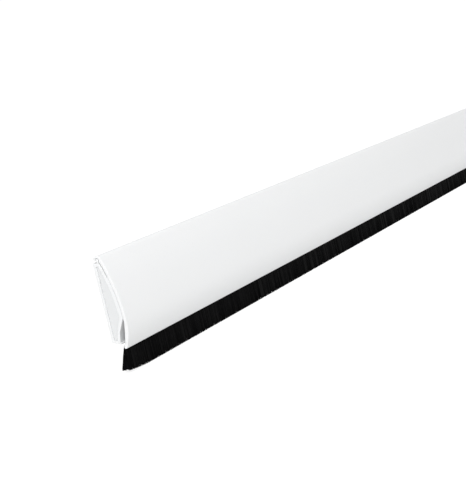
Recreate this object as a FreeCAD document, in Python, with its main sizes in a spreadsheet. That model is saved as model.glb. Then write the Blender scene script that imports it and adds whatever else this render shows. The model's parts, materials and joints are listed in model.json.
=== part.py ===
"""A face-fixed door sweep: a hollow rail with end plugs, a cover hinged on its ridge, and a brush strip.

Millimetres. +X runs along the sweep, -Y faces away from the door and +Z is up. The origin lies on the
door's face at mid-length, level with the row of screw holes. Every section is drawn as depth in front
of the door and height above the back wall's lower edge.
"""

import FreeCAD, Part
import math
import os
import re

import Sketcher

SIZES = {
    # the whole sweep
    "run_length": 914,
    "back_height": 41.3,
    "rail_wall": 1.6,
    "cover_wall": 1.6,
    # the cover's outside: an upper bow, the belly where it stands furthest out, and a tucked-in lip
    "belly_depth": 12,
    "belly_height": 10,
    "face_bow": 85,
    "lip_bow": 27,
    "lip_drop": 3.5,
    "lip_round": 0.95,
    "lip_rise": 1,
    # the web under the rail's chamber
    "toe_wall": 1.2,
    # the gaps between the cover and the rail: a pry slot above and a close fit below it
    "slot_gap": 0.6,
    "slot_bottom": 33.3,
    "slot_top": 40.5,
    "face_gap": 0.2,
    "front_bottom": 11.9,
    # the ridge that the cover hooks over
    "ridge_radius": 0.8,
    "ridge_height": 42.5,
    "ridge_stem": 1,
    "top_fall": 0.5,
    "hook_gap": 0.3,
    "hook_wall": 1.1,
    # the brush's mouth between the rail's toe and the cover's lip, set back from the belly, and its
    # backward lean in degrees
    "mouth_setback": 5.66,
    "mouth_drop": 1.5,
    "lean": 14,
    "mouth_width": 1.6,
    "ledge": 0.7,
    # the brush strip, whose channel and wire stop short of both ends
    "strip_setback": 3.5,
    "channel_width": 2.4,
    "channel_height": 5,
    "channel_sheet": 0.35,
    "channel_gap": 0.3,
    "wire_radius": 0.45,
    "neck_width": 1.2,
    "neck_length": 2.4,
    "tip_depth": 1.6,
    "tip_width": 5.2,
    "tip_drop": 16.3,
    # the plugs that close the rail's two ends: a plate and a skirt that grips the chamber's walls
    "plug_plate": 2,
    "plug_reach": 9,
    "plug_wall": 1,
    "plug_hollow_top": 31,
    "plug_setback": 0.3,
    # the screw holes in the back wall and the wider driver holes in front of them
    "hole_height": 20.6,
    "hole_radius": 2.2,
    "driver_radius": 4.5,
    "driver_start": 2.4,
    "hole_pitch": 170,
    "hole_count": 6,
}

doc = FreeCAD.newDocument("door_sweep")
sizes = doc.addObject("Spreadsheet::Sheet", "sizes")
for row, (alias, number) in enumerate(SIZES.items(), start=1):
    sizes.set(f"A{row}", alias)
    sizes.set(f"B{row}", str(number))
    sizes.setAlias(f"B{row}", alias)
doc.recompute()


def cell(text):
    """An expression with each size's plain name read from the sheet."""
    return re.sub(r"[a-z_]+", lambda found: "sizes." * (found[0] in SIZES) + found[0], text)


def measure(text):
    """The value of an expression, as a plain number."""
    found = sizes.evalExpression(cell(text))
    return float(getattr(found, "Value", found))


def bow_point(radius, height):
    """The point at a height on an arc of the upper bow's centre."""
    centre = "(belly_depth - face_bow)"
    return f"{centre} + sqrt(({radius}) ^ 2 - ({height} - belly_height) ^ 2)", height


def brush_point(across, along):
    """A point in the brush's own leaning frame: across towards the front, along up into the slot."""
    depth = f"belly_depth - mouth_setback + ({along}) * sin(lean) + ({across}) * cos(lean)"
    height = f"({along}) * cos(lean) - ({across}) * sin(lean) - mouth_drop"
    return depth, height


# The ridge's centre lies where the hook's outside runs tangent into the upper bow.
HOOK_INNER = "(ridge_radius + hook_gap)"
HOOK_OUTER = f"({HOOK_INNER} + hook_wall)"
RIDGE_ORBIT = f"(face_bow - {HOOK_OUTER})"
RIDGE_SINE = f"((ridge_height - belly_height) / {RIDGE_ORBIT})"
RIDGE_COSINE = f"sqrt(1 - {RIDGE_SINE} ^ 2)"
RIDGE_DEPTH = f"(belly_depth - face_bow + {RIDGE_ORBIT} * {RIDGE_COSINE})"

# The slot for the brush: its side gaps, the ledges that carry the channel, and the room over it.
SLOT_HALF = "(channel_width / 2 + channel_gap)"
MOUTH_HALF = "(mouth_width / 2)"
CHANNEL_FOOT = "(ledge + channel_gap)"
CHANNEL_HEAD = f"({CHANNEL_FOOT} + channel_height)"
SLOT_HEAD = f"({CHANNEL_HEAD} + channel_gap)"
PACK_HALF = "(channel_width / 2 - channel_sheet)"
CROWN = f"({CHANNEL_HEAD} - channel_width / 2)"
STRIP_LENGTH = "(run_length - 2 * strip_setback)"


def attach(body, sketch, role):
    """Lays a sketch on one of its own body's origin planes."""
    plane = [feature for feature in body.Origin.OriginFeatures if feature.Role == role]
    sketch.AttachmentSupport = [(plane[0], "")]
    sketch.MapMode = "FlatFace"


def pin(sketch, geometry, end, axis, expression):
    """Ties one coordinate of a sketch point to the sheet, or lays the point on the sketch's axis at 0."""
    number = measure(expression)
    if expression.strip() == "0":
        sketch.addConstraint(Sketcher.Constraint("PointOnObject", geometry, end, -2 if axis == "X" else -1))
        return
    index = sketch.addConstraint(Sketcher.Constraint("Distance" + axis, -1, 1, geometry, end, number))
    sketch.setExpression(f"Constraints[{index}]", cell(expression))


def arc_through(start, end, radius, side):
    """The shorter arc between two points, bulging to the right (+1) or left (-1) of the way it is drawn."""
    chord = end - start
    half = chord.Length / 2
    across = FreeCAD.Vector(chord.y, -chord.x, 0).normalize()
    centre = (start + end) / 2 - across * side * math.sqrt(radius**2 - half**2)
    crest = centre + across * side * radius
    return Part.Arc(start, crest, end)


def draw_loop(sketch, corners):
    """Draws one closed outline. A corner is (depth, height), with (radius, side) where an arc leaves it."""
    points = [FreeCAD.Vector(-measure(corner[0]), measure(corner[1]), 0) for corner in corners]
    ends = []
    for number, corner in enumerate(corners):
        start, end = points[number], points[(number + 1) % len(points)]
        if len(corner) == 2:
            ends.append((sketch.addGeometry(Part.LineSegment(start, end), False), 1, 2))
            continue
        radius, side = corner[2]
        arc = arc_through(start, end, measure(radius), side)
        index = sketch.addGeometry(arc, False)
        first = sketch.getPoint(index, 1)
        ends.append((index, 1, 2) if first.distanceToPoint(start) < 1e-6 else (index, 2, 1))
        bound = sketch.addConstraint(Sketcher.Constraint("Radius", index, measure(radius)))
        sketch.setExpression(f"Constraints[{bound}]", cell(radius))
    for number, corner in enumerate(corners):
        index, start, _ = ends[number]
        before, _, end = ends[number - 1]
        sketch.addConstraint(Sketcher.Constraint("Coincident", before, end, index, start))
        pin(sketch, index, start, "X", corner[0] if corner[0] == "0" else f"0 - ({corner[0]})")
        pin(sketch, index, start, "Y", corner[1])


def draw_circle(sketch, centre, radius):
    """Draws one circle at a (sketch x, sketch y) centre."""
    middle = FreeCAD.Vector(measure(centre[0]), measure(centre[1]), 0)
    circle = Part.Circle(middle, FreeCAD.Vector(0, 0, 1), measure(radius))
    index = sketch.addGeometry(circle, False)
    bound = sketch.addConstraint(Sketcher.Constraint("Radius", index, measure(radius)))
    sketch.setExpression(f"Constraints[{bound}]", cell(radius))
    pin(sketch, index, 3, "X", centre[0])
    pin(sketch, index, 3, "Y", centre[1])


def new_body(label):
    """A body whose height 0 is the back wall's lower edge, hole_height below the origin."""
    body = doc.addObject("PartDesign::Body", label)
    body.Label = label
    body.setExpression("Placement.Base.z", cell("0 - hole_height"))
    return body


def extrude(body, loops, circles=(), length="run_length"):
    """Draws a section across the run and pads it evenly to both sides of mid-length."""
    section = body.newObject("Sketcher::SketchObject", f"{body.Label}_section")
    attach(body, section, "YZ_Plane")
    for corners in loops:
        draw_loop(section, corners)
    for centre, radius in circles:
        draw_circle(section, centre, radius)
    pad = body.newObject("PartDesign::Pad", f"{body.Label}_run")
    pad.Profile = section
    pad.SideType = "Symmetric"
    pad.setExpression("Length", cell(length))
    doc.recompute()
    return pad


def drill_row(body, name, radius, start_depth, reach):
    """Cuts one row of holes towards the front, starting at a depth in front of the door."""
    circle = body.newObject("Sketcher::SketchObject", f"{name}_circle")
    attach(body, circle, "XZ_Plane")
    circle.setExpression("AttachmentOffset.Base.z", cell(start_depth))
    draw_circle(circle, ("0 - hole_pitch * (hole_count - 1) / 2", "hole_height"), radius)
    pocket = body.newObject("PartDesign::Pocket", f"{name}_cut")
    pocket.Profile = circle
    pocket.Reversed = True
    pocket.setExpression("Length", cell(reach))
    doc.recompute()
    row = body.newObject("PartDesign::LinearPattern", f"{name}_row")
    row.Originals = [pocket]
    row.Direction = (circle, ["H_Axis"])
    row.setExpression("Length", cell("hole_pitch * (hole_count - 1)"))
    row.setExpression("Occurrences", cell("hole_count"))
    body.Tip = row
    doc.recompute()


INNER_BOW = "(face_bow - cover_wall - slot_gap - rail_wall)"
INSIDE_TOP = "(back_height - top_fall - rail_wall)"
INSIDE_BELLY = "(front_bottom + rail_wall / 2)"


def chamber_loop():
    """The rail's hollow, which its end plugs fill."""
    front = f"0 - {SLOT_HALF} - rail_wall"
    return [
        ("rail_wall", "toe_wall"),
        ("rail_wall", INSIDE_TOP),
        (*bow_point(INNER_BOW, INSIDE_TOP), (INNER_BOW, 1)),
        bow_point(INNER_BOW, INSIDE_BELLY),
        brush_point(front, SLOT_HEAD),
        brush_point(front, "ledge + rail_wall / 2"),
    ]


def plug_hollow_loop():
    """The hollow in a plug's inner side, flat above and below where the chamber narrows."""
    front = brush_point(f"0 - {SLOT_HALF} - rail_wall - plug_wall", SLOT_HEAD)
    radius = f"({INNER_BOW} - plug_wall)"
    return [
        ("rail_wall + plug_wall", front[1]),
        ("rail_wall + plug_wall", "plug_hollow_top"),
        (*bow_point(radius, "plug_hollow_top"), (radius, 1)),
        bow_point(radius, INSIDE_BELLY),
        front,
    ]


def make_mounting_rail():
    """The closed hollow section that is screwed to the door, with its hook ridge and brush slot."""
    body = new_body("mounting_rail")
    slot_radius = "face_bow - cover_wall - slot_gap"
    front_radius = "face_bow - cover_wall - face_gap"
    neck = "sqrt(ridge_radius ^ 2 - (ridge_stem / 2) ^ 2)"
    outside = [
        ("0", "0"),
        ("0", "back_height"),
        (f"{RIDGE_DEPTH} - ridge_stem / 2", "back_height - top_fall"),
        (f"{RIDGE_DEPTH} - ridge_stem / 2", f"ridge_height - {neck}", ("ridge_radius", 1)),
        (RIDGE_DEPTH, "ridge_height + ridge_radius", ("ridge_radius", 1)),
        (f"{RIDGE_DEPTH} + ridge_stem / 2", f"ridge_height - {neck}"),
        (f"{RIDGE_DEPTH} + ridge_stem / 2", "slot_top"),
        (*bow_point(slot_radius, "slot_top"), (slot_radius, 1)),
        bow_point(slot_radius, "slot_bottom"),
        (*bow_point(front_radius, "slot_bottom"), (front_radius, 1)),
        bow_point(front_radius, "front_bottom"),
        brush_point(f"0 - {SLOT_HALF}", SLOT_HEAD),
        brush_point(f"0 - {SLOT_HALF}", "ledge"),
        brush_point(f"0 - {MOUTH_HALF}", "ledge"),
        brush_point(f"0 - {MOUTH_HALF}", "0"),
    ]
    extrude(body, [outside, chamber_loop()])
    drill_row(body, "screw_hole", "hole_radius", "0 - rail_wall", "2 * rail_wall")
    drill_row(body, "driver_hole", "driver_radius", "driver_start", "belly_depth")
    return body


def make_end_plug(label, side):
    """One plug, pressed into the rail's hollow at the -X (side -1) or the +X end (side 1)."""
    body = new_body(label)
    inner_end = f"{side} * (run_length / 2 - plug_setback - plug_reach)"
    solid = body.newObject("Sketcher::SketchObject", f"{label}_rim")
    hollow = body.newObject("Sketcher::SketchObject", f"{label}_hollow")
    for sketch, corners in ((solid, chamber_loop()), (hollow, plug_hollow_loop())):
        attach(body, sketch, "YZ_Plane")
        sketch.setExpression("AttachmentOffset.Base.z", cell(inner_end))
        draw_loop(sketch, corners)
    pad = body.newObject("PartDesign::Pad", f"{label}_block")
    pad.Profile = solid
    pad.Reversed = side < 0
    pad.setExpression("Length", cell("plug_reach"))
    doc.recompute()
    pocket = body.newObject("PartDesign::Pocket", f"{label}_cut")
    pocket.Profile = hollow
    pocket.Reversed = side > 0
    pocket.setExpression("Length", cell("plug_reach - plug_plate"))
    doc.recompute()
    return body


def make_near_plug():
    """The plug at the -X end."""
    return make_end_plug("near_end_plug", -1)


def make_far_plug():
    """The plug at the +X end."""
    return make_end_plug("far_end_plug", 1)


def make_clip_cover():
    """The bowed cover: a hook round the rail's ridge above and a lip in front of the brush below."""
    body = new_body("clip_cover")
    inner = "(face_bow - cover_wall)"
    # where the inner face meets the hook's inside, measured from the ridge's centre
    squares = f"{RIDGE_ORBIT} ^ 2 + {inner} ^ 2 - {HOOK_INNER} ^ 2"
    reach = f"(({squares}) / (2 * {RIDGE_ORBIT}) - {RIDGE_ORBIT})"
    drop = f"sqrt({HOOK_INNER} ^ 2 - {reach} ^ 2)"
    throat_depth = f"{RIDGE_DEPTH} + {reach} * {RIDGE_COSINE} + {drop} * {RIDGE_SINE}"
    throat_height = f"ridge_height + {reach} * {RIDGE_SINE} - {drop} * {RIDGE_COSINE}"
    lip_depth = "belly_depth - lip_bow + sqrt(lip_bow ^ 2 - (belly_height + lip_drop) ^ 2)"
    section = [
        (f"{RIDGE_DEPTH} - {HOOK_OUTER}", "ridge_height", (HOOK_OUTER, 1)),
        (
            f"belly_depth - face_bow + face_bow * {RIDGE_COSINE}",
            f"belly_height + face_bow * {RIDGE_SINE}",
            ("face_bow", 1),
        ),
        ("belly_depth", "belly_height", ("lip_bow", 1)),
        (lip_depth, "0 - lip_drop", ("lip_round", 1)),
        brush_point(MOUTH_HALF, "lip_rise - (lip_drop - mouth_drop) / cos(lean)"),
        brush_point(MOUTH_HALF, "ledge"),
        brush_point(SLOT_HALF, "ledge"),
        brush_point(SLOT_HALF, SLOT_HEAD),
        ("belly_depth - cover_wall", "belly_height", (inner, -1)),
        (throat_depth, throat_height, (HOOK_INNER, -1)),
        (RIDGE_DEPTH, f"ridge_height + {HOOK_INNER}", (HOOK_INNER, -1)),
        (f"{RIDGE_DEPTH} - {HOOK_INNER}", "ridge_height"),
    ]
    extrude(body, [section])
    return body


def make_brush_channel():
    """The folded metal channel that grips the filaments."""
    body = new_body("brush_channel")
    section = [
        brush_point("0 - channel_width / 2", CHANNEL_FOOT),
        (*brush_point("0 - channel_width / 2", CROWN), ("channel_width / 2", 1)),
        (*brush_point("0", CHANNEL_HEAD), ("channel_width / 2", 1)),
        brush_point("channel_width / 2", CROWN),
        brush_point("channel_width / 2", CHANNEL_FOOT),
        brush_point(PACK_HALF, CHANNEL_FOOT),
        (*brush_point(PACK_HALF, CROWN), (PACK_HALF, -1)),
        (*brush_point("0", f"{CROWN} + {PACK_HALF}"), (PACK_HALF, -1)),
        brush_point(f"0 - {PACK_HALF}", CROWN),
        brush_point(f"0 - {PACK_HALF}", CHANNEL_FOOT),
    ]
    extrude(body, [section], length=STRIP_LENGTH)
    return body


def make_core_wire():
    """The straight wire that the filaments are folded over."""
    body = new_body("core_wire")
    depth, height = brush_point("0", CROWN)
    extrude(body, [], [((f"0 - ({depth})", height), "wire_radius")], STRIP_LENGTH)
    return body


def make_brush_bristles():
    """The filaments as one closed pack: folded round the wire, gripped, necked and fanned out below."""
    body = new_body("brush_bristles")
    section = [
        (*brush_point(f"0 - {PACK_HALF}", CROWN), (PACK_HALF, 1)),
        (*brush_point("0", f"{CROWN} + {PACK_HALF}"), (PACK_HALF, 1)),
        brush_point(PACK_HALF, CROWN),
        brush_point(PACK_HALF, CHANNEL_FOOT),
        brush_point("neck_width / 2", "ledge"),
        brush_point("neck_width / 2", "0 - neck_length"),
        ("tip_depth + tip_width", "0 - tip_drop"),
        ("tip_depth", "0 - tip_drop"),
        brush_point("0 - neck_width / 2", "0 - channel_gap"),
        brush_point("0 - neck_width / 2", "ledge"),
        brush_point(f"0 - {PACK_HALF}", CHANNEL_FOOT),
    ]
    depth, height = brush_point("0", CROWN)
    extrude(body, [section], [((f"0 - ({depth})", height), "wire_radius")])
    return body


MAKERS = (
    make_mounting_rail,
    make_near_plug,
    make_far_plug,
    make_clip_cover,
    make_brush_channel,
    make_core_wire,
    make_brush_bristles,
)


def check_document(bodies):
    """Stops the build if anything in the document failed or a body has no sound single solid."""
    for item in doc.Objects:
        if "Invalid" in item.State or "Error" in item.State:
            raise RuntimeError(f"{item.Name} did not compute: {item.State}")
    for body in bodies:
        shape = body.Shape
        if shape.isNull() or not shape.isValid() or len(shape.Solids) != 1:
            raise RuntimeError(f"{body.Label} is not one sound solid")


def main():
    """Builds every piece, checks the document and writes one file for each piece."""
    bodies = [maker() for maker in MAKERS]
    doc.recompute()
    check_document(bodies)
    os.makedirs("parts", exist_ok=True)
    for body in bodies:
        body.Shape.exportStep(f"parts/{body.Label}.step")
        box = body.Shape.BoundBox
        print(
            f"{body.Label}: {body.Shape.Volume:.1f} mm3, y {box.YMin:.2f} to {box.YMax:.2f},"
            f" z {box.ZMin:.2f} to {box.ZMax:.2f}"
        )


main()
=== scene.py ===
"""The finished look of a face-fixed door sweep, built around its fixed frame.

The sweep is a hollow white rail, a bowed white cover hooked over the rail's top ridge, and a black brush
strip gripped in a folded metal channel. Every length is in metres. +X runs along the sweep, -Y faces
away from the door and +Z is up.
"""

import json
import logging
import math
from dataclasses import dataclass, field
from enum import Enum

import bmesh
import bpy
import numpy as np
from mathutils import Matrix, Vector
from mathutils.geometry import tessellate_polygon

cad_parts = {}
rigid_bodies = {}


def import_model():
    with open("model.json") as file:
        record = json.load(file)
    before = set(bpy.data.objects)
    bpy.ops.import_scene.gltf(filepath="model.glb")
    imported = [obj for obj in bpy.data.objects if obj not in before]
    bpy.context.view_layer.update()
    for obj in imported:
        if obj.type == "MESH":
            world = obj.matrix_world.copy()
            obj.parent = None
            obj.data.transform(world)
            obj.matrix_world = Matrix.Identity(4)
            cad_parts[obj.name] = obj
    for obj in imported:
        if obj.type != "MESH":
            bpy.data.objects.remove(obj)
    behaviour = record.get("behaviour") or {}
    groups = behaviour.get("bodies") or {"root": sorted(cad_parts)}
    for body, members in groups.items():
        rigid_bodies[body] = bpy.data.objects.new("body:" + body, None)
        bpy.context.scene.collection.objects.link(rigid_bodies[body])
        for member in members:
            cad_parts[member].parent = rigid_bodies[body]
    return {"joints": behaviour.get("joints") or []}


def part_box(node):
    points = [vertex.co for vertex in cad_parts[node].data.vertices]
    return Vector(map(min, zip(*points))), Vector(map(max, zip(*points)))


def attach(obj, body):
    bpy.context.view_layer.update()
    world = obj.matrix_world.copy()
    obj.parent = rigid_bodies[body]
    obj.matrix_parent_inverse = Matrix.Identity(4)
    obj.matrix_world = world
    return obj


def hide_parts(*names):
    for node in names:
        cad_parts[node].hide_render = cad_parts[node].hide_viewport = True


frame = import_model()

LOG = logging.getLogger("door_sweep")
MM = 0.001
FAN_POWER = 2.2
LEAST_MITRE = 0.5
HOLE_SIDES = 48
Pair = tuple[float, float]


class Side(Enum):
    """Which way an arc bulges, seen from the way that it is drawn with the front on the right."""

    OUT = 1
    IN = -1


class Finish(Enum):
    """The record's material slots, which the pieces take their finishes from."""

    RAIL = "white_pvc"
    PLUG = "white_plug"
    COVER = "white_cover"
    CHANNEL = "galvanised_steel"
    WIRE = "steel_wire"
    FILAMENT = "black_filament"


# ---------------------------------------------------------------------------------------------------
# The end section
# ---------------------------------------------------------------------------------------------------


class Outline:
    """A closed outline of the end section, as (depth in front of the door, height above the back's foot)."""

    LONGEST_STEP = 1.2 * MM
    WIDEST_TURN = math.radians(9)
    CORNER_STEPS = 4
    CORNER_ROOM = 0.4

    def __init__(self, start: Pair) -> None:
        """Starts the outline at a point.

        Args:
            start: the first point, as depth and height.
        """
        self.points: list[Vector] = [Vector(start)]

    def line(self, *ends: Pair) -> "Outline":
        """Adds straight runs.

        Args:
            ends: the point that each run ends at.

        Returns:
            The outline itself.
        """
        self.points += [Vector(end) for end in ends]
        return self

    def arc(self, end: Pair, radius: float, side: Side = Side.OUT) -> "Outline":
        """Adds the shorter arc of a radius to an end point, as short even steps.

        Args:
            end: the point that the arc ends at.
            radius: the arc's radius.
            side: the way that it bulges.

        Returns:
            The outline itself.
        """
        start, stop = self.points[-1], Vector(end)
        chord = stop - start
        across = Vector((-chord.y, chord.x)).normalized() * side.value
        centre = (start + stop) / 2 - across * math.sqrt(max(radius**2 - chord.length**2 / 4, 0.0))
        first, last = start - centre, stop - centre
        turn = first.angle_signed(last)
        by_turn = math.ceil(abs(turn) / self.WIDEST_TURN)
        by_length = math.ceil(abs(turn) * radius / self.LONGEST_STEP)
        steps = max(2, by_turn, by_length)
        for step in range(1, steps + 1):
            spoke = first.copy()
            spoke.rotate(Matrix.Rotation(-turn * step / steps, 2))
            self.points.append(centre + spoke)
        self.points[-1] = stop
        return self

    def softened(self, radius: float, sharpest: float = math.radians(25)) -> list[Vector]:
        """Rounds each sharp corner.

        Args:
            radius: the corner radius, less where a short run beside the corner leaves no room.
            sharpest: the turn above which a corner is rounded.

        Returns:
            The rounded outline's points.
        """
        soft: list[Vector] = []
        count = len(self.points)
        for index, corner in enumerate(self.points):
            before = self.points[index - 1] - corner
            after = self.points[(index + 1) % count] - corner
            turn = math.pi - before.angle(after)
            if turn < sharpest:
                soft.append(corner)
                continue
            room = self.CORNER_ROOM * min(before.length, after.length)
            reach = min(radius * math.tan(turn / 2), room)
            start, end = corner + before.normalized() * reach, corner + after.normalized() * reach
            for step in range(self.CORNER_STEPS + 1):
                share = step / self.CORNER_STEPS
                soft.append(start * (1 - share) ** 2 + corner * 2 * share * (1 - share) + end * share**2)
        return soft


@dataclass(frozen=True)
class Section:
    """The sizes that the pieces of the end section share, and where the section stands in the frame."""

    foot: float
    ridge_depth: float
    run: Pair
    back_height: float = 41.3 * MM
    rail_wall: float = 1.6 * MM
    cover_wall: float = 1.6 * MM
    belly_depth: float = 12 * MM
    belly_height: float = 10 * MM
    face_bow: float = 85 * MM
    lip_bow: float = 27 * MM
    lip_drop: float = 3.5 * MM
    lip_round: float = 0.95 * MM
    lip_rise: float = 1 * MM
    toe_wall: float = 1.2 * MM
    slot_gap: float = 0.6 * MM
    slot_bottom: float = 33.3 * MM
    slot_top: float = 40.5 * MM
    face_gap: float = 0.2 * MM
    front_bottom: float = 11.9 * MM
    ridge_radius: float = 0.8 * MM
    ridge_height: float = 42.5 * MM
    ridge_stem: float = 1 * MM
    top_fall: float = 0.5 * MM
    hook_gap: float = 0.3 * MM
    hook_wall: float = 1.1 * MM
    mouth_setback: float = 5.66 * MM
    mouth_drop: float = 1.5 * MM
    mouth_width: float = 1.6 * MM
    lean: float = math.radians(14)
    ledge: float = 0.7 * MM
    strip_setback: float = 3.5 * MM
    channel_width: float = 2.4 * MM
    channel_height: float = 5 * MM
    channel_sheet: float = 0.35 * MM
    channel_gap: float = 0.3 * MM
    wire_radius: float = 0.45 * MM
    neck_width: float = 1.2 * MM
    neck_length: float = 2.4 * MM
    tip_depth: float = 1.6 * MM
    tip_width: float = 5.2 * MM
    tip_drop: float = 16.3 * MM
    plug_plate: float = 2 * MM
    plug_reach: float = 9 * MM
    plug_wall: float = 1 * MM
    plug_setback: float = 0.3 * MM
    plug_hollow_top: float = 31 * MM

    @classmethod
    def from_frame(cls) -> "Section":
        """Reads the ridge's place from the cover's hinge and the run from the rail's box.

        Returns:
            The section, placed in the frame.
        """
        hinge = next(joint for joint in frame["joints"] if joint["type"] == "hinge")
        low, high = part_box("mounting_rail")
        _, across, up = hinge["pos_m"]
        return cls(foot=up - cls.ridge_height, ridge_depth=-across, run=(low.x, high.x))

    @property
    def strip(self) -> Pair:
        """Where the channel and its wire start and stop, short of the rail's two ends."""
        return self.run[0] + self.strip_setback, self.run[1] - self.strip_setback

    @property
    def slot_half(self) -> float:
        """Half the brush slot's width."""
        return self.channel_width / 2 + self.channel_gap

    @property
    def channel_foot(self) -> float:
        """How far up the slot the channel's open edge lies."""
        return self.ledge + self.channel_gap

    @property
    def slot_head(self) -> float:
        """How far up the slot its closed end lies."""
        return self.channel_foot + self.channel_height + self.channel_gap

    @property
    def crown(self) -> float:
        """How far up the slot the wire's centre lies."""
        return self.channel_foot + self.channel_height - self.channel_width / 2

    @property
    def waist(self) -> float:
        """How far up the slot, and so below 0, the brush is at its narrowest."""
        return -self.neck_length * 0.45

    @property
    def pack_half(self) -> float:
        """Half the width of the filaments inside the channel."""
        return self.channel_width / 2 - self.channel_sheet

    def bow_depth(self, radius: float, height: float) -> float:
        """The depth at a height on an arc that shares the upper bow's centre."""
        return self.belly_depth - self.face_bow + math.sqrt(radius**2 - (height - self.belly_height) ** 2)

    def leaning(self, across: float, along: float) -> Pair:
        """Turns a point of the brush's own leaning frame into a section point.

        Args:
            across: how far the point lies in front of the brush's middle line.
            along: how far up the slot it lies.

        Returns:
            The point's depth and height.
        """
        sine, cosine = math.sin(self.lean), math.cos(self.lean)
        return (
            self.belly_depth - self.mouth_setback + along * sine + across * cosine,
            along * cosine - across * sine - self.mouth_drop,
        )

    def chamber(self, corner: float) -> list[Vector]:
        """Draws the rail's hollow.

        Args:
            corner: the radius of its corners.

        Returns:
            The hollow's outline.
        """
        radius = self.face_bow - self.cover_wall - self.slot_gap - self.rail_wall
        top = self.back_height - self.top_fall - self.rail_wall
        bottom = self.front_bottom + self.rail_wall / 2
        path = Outline((self.rail_wall, self.toe_wall))
        path.line((self.rail_wall, top), (self.bow_depth(radius, top), top))
        path.arc((self.bow_depth(radius, bottom), bottom), radius)
        back = -self.slot_half - self.rail_wall
        path.line(self.leaning(back, self.slot_head), self.leaning(back, self.ledge + self.rail_wall / 2))
        return path.softened(corner)

    def place(self, x: float, point: Vector) -> tuple[float, float, float]:
        """A section point's place in the frame, at a distance x along the run."""
        return x, -point[0], point[1] + self.foot


# ---------------------------------------------------------------------------------------------------
# Meshes
# ---------------------------------------------------------------------------------------------------


def inset(points: list[Vector], distance: float) -> list[Vector]:
    """Moves a closed outline's points to their right by a distance, with mitred corners.

    Args:
        points: the outline.
        distance: how far to move each edge.

    Returns:
        The moved points.
    """
    moved = []
    for index, point in enumerate(points):
        back = (point - points[index - 1]).normalized()
        ahead = (points[(index + 1) % len(points)] - point).normalized()
        normal = Vector((back.y + ahead.y, -back.x - ahead.x)).normalized()
        stretch = max(normal.dot(Vector((ahead.y, -ahead.x))), LEAST_MITRE)
        moved.append(point + normal * distance / stretch)
    return moved


def signed_area(points: list[Vector]) -> float:
    """Twice the signed area of a closed outline, positive where it runs anticlockwise."""
    return sum(a.x * b.y - b.x * a.y for a, b in zip(points, points[1:] + points[:1]))


def shade(piece: bpy.types.Object, sharpest: float = math.radians(32)) -> None:
    """Smooths a mesh, keeps its true corners crisp and lets its large faces set the normals.

    Args:
        piece: the object to shade.
        sharpest: the angle between faces above which an edge stays crisp.
    """
    mesh = piece.data
    sculpt = bmesh.new()
    sculpt.from_mesh(mesh)
    bmesh.ops.recalc_face_normals(sculpt, faces=sculpt.faces)
    for face in sculpt.faces:
        face.smooth = True
    for edge in sculpt.edges:
        edge.smooth = len(edge.link_faces) == 2 and edge.calc_face_angle(0.0) < sharpest
    sculpt.to_mesh(mesh)
    sculpt.free()
    weighted = piece.modifiers.new("face_weights", "WEIGHTED_NORMAL")
    weighted.keep_sharp = True


def new_piece(name: str, vertices: np.ndarray | list, faces: list | np.ndarray) -> bpy.types.Object:
    """Makes an object from vertices and faces and links it to the scene.

    Args:
        name: the piece's name.
        vertices: one (x, y, z) for each vertex.
        faces: one list of vertex numbers for each face.

    Returns:
        The new object.
    """
    mesh = bpy.data.meshes.new(name)
    mesh.from_pydata([tuple(v) for v in vertices], [], [tuple(f) for f in faces])
    mesh.update()
    piece = bpy.data.objects.new(name, mesh)
    bpy.context.scene.collection.objects.link(piece)
    return piece


@dataclass
class Extrusion:
    """A section drawn along the run, with the thin broken edge that a deburred saw cut leaves."""

    section: Section
    broken_edge: float = 0.12 * MM
    stations: int = 13
    span: Pair | None = None

    def build(self, name: str, loops: list[list[Vector]]) -> bpy.types.Object:
        """Makes the extrusion's mesh. Its cut ends are in material slot 1 and the rest in slot 0.

        Args:
            name: the piece's name.
            loops: the outer outline, then any inner ones.

        Returns:
            The new object.
        """
        low, high = self.span or self.section.run
        inner_stations = np.linspace(low + self.broken_edge, high - self.broken_edge, self.stations)
        stations = [low, *inner_stations, high]
        full = [loop if signed_area(loop) < 0 else loop[::-1] for loop in loops]
        full = [full[0]] + [loop[::-1] for loop in full[1:]]
        shrunk = [inset(loop, self.broken_edge) for loop in full]
        vertices: list[tuple[float, float, float]] = []
        faces: list[list[int]] = []
        rings = []
        for number, x in enumerate(stations):
            outlines = shrunk if number in (0, len(stations) - 1) else full
            ring = []
            for outline in outlines:
                ring.append(range(len(vertices), len(vertices) + len(outline)))
                vertices += [self.section.place(x, point) for point in outline]
            rings.append(ring)
        for near, far in zip(rings, rings[1:]):
            for a, b in zip(near, far):
                count = len(a)
                faces += [[a[i], a[(i + 1) % count], b[(i + 1) % count], b[i]] for i in range(count)]
        sides = len(faces)
        triangles = tessellate_polygon([[(p.x, p.y, 0) for p in outline] for outline in shrunk])
        for ring in (rings[0], rings[-1]):
            order = [index for loop in ring for index in loop]
            faces += [[order[i] for i in triangle] for triangle in triangles]
        piece = new_piece(name, vertices, faces)
        for polygon in piece.data.polygons[sides:]:
            polygon.material_index = 1
        return piece


def drill(piece: bpy.types.Object, cutters: list[tuple[Vector, float, float]]) -> None:
    """Cuts round holes that run along Y.

    Args:
        piece: the object to cut.
        cutters: each hole's middle, radius and length.
    """
    sculpt = bmesh.new()
    for middle, radius, length in cutters:
        turn = Matrix.Translation(middle) @ Matrix.Rotation(math.pi / 2, 4, "X")
        bmesh.ops.create_cone(
            sculpt,
            cap_ends=True,
            segments=HOLE_SIDES,
            radius1=radius,
            radius2=radius,
            depth=length,
            matrix=turn,
        )
    mesh = bpy.data.meshes.new("drill_bits")
    sculpt.to_mesh(mesh)
    sculpt.free()
    bits = bpy.data.objects.new("drill_bits", mesh)
    bpy.context.scene.collection.objects.link(bits)
    carve(piece, bits)


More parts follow.
